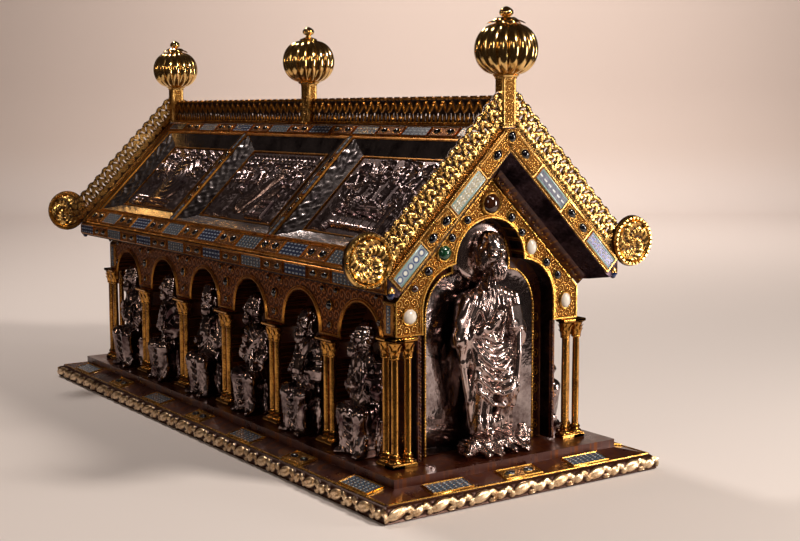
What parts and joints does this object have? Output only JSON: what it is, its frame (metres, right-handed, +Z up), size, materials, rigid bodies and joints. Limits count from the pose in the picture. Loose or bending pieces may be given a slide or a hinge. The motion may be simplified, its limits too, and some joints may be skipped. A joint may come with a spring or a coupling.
{
  "type": "reliquary casket",
  "caption": "House-shaped metal-clad casket on a stepped plinth, with figures in arcades, a pitched lift-off lid with reliefs, pierced crests and fluted knobs.",
  "frame": {"origin": "centre of the underside of the plinth and its moulding", "axes": "+X along the casket to the gable end that the picture shows, +Y to the long side away from the viewer, +Z up"},
  "size_m": [1.07, 0.4846, 0.5993],
  "materials": {
    "plinth_copper": "dark red-brown varnished copper, satin",
    "moulding_gilt": "rubbed gilding over copper",
    "case_sheet": "oak boards under brown and gold varnished copper sheet",
    "roof_silver": "polished silver sheet, tarnished dark",
    "arcade_gilt": "brown and gold filigree copper",
    "gable_gilt": "bright gilt filigree",
    "column_gilt": "gilt casting, polished",
    "figure_silver": "polished embossed silver, tarnished dark",
    "relief_silver": "polished embossed silver",
    "crest_gilt": "bright gilt copper"
  },
  "bodies": {
    "root": {"plinth": "plinth_copper", "leaf_moulding": "moulding_gilt", "oak_case": "case_sheet", "roof_lid": "roof_silver", "arcade_south": "arcade_gilt", "twin_columns_south_1": "column_gilt", "twin_columns_south_2": "column_gilt", "twin_columns_south_3": "column_gilt", "twin_columns_south_4": "column_gilt", "twin_columns_south_5": "column_gilt", "apostle_south_1": "figure_silver", "apostle_south_2": "figure_silver", "apostle_south_3": "figure_silver", "apostle_south_4": "figure_silver", "apostle_south_5": "figure_silver", "apostle_south_6": "figure_silver", "roof_relief_south_1": "relief_silver", "roof_relief_south_2": "relief_silver", "roof_relief_south_3": "relief_silver", "arcade_north": "arcade_gilt", "twin_columns_north_1": "column_gilt", "twin_columns_north_2": "column_gilt", "twin_columns_north_3": "column_gilt", "twin_columns_north_4": "column_gilt", "twin_columns_north_5": "column_gilt", "apostle_north_1": "figure_silver", "apostle_north_2": "figure_silver", "apostle_north_3": "figure_silver", "apostle_north_4": "figure_silver", "apostle_north_5": "figure_silver", "apostle_north_6": "figure_silver", "roof_relief_north_1": "relief_silver", "roof_relief_north_2": "relief_silver", "roof_relief_north_3": "relief_silver", "gable_plate_east": "gable_gilt", "gable_figure_east": "figure_silver", "corner_columns_east_left": "column_gilt", "gable_crest_east_left": "crest_gilt", "medallion_east_left": "crest_gilt", "corner_columns_east_right": "column_gilt", "gable_crest_east_right": "crest_gilt", "medallion_east_right": "crest_gilt", "ridge_post_east": "crest_gilt", "knob_east": "crest_gilt", "ridge_crest_east": "crest_gilt", "gable_plate_west": "gable_gilt", "gable_figure_west": "figure_silver", "corner_columns_west_left": "column_gilt", "gable_crest_west_left": "crest_gilt", "medallion_west_left": "crest_gilt", "corner_columns_west_right": "column_gilt", "gable_crest_west_right": "crest_gilt", "medallion_west_right": "crest_gilt", "ridge_post_west": "crest_gilt", "knob_west": "crest_gilt", "ridge_crest_west": "crest_gilt", "ridge_post_middle": "crest_gilt", "knob_middle": "crest_gilt"}
  },
  "joints": []
}
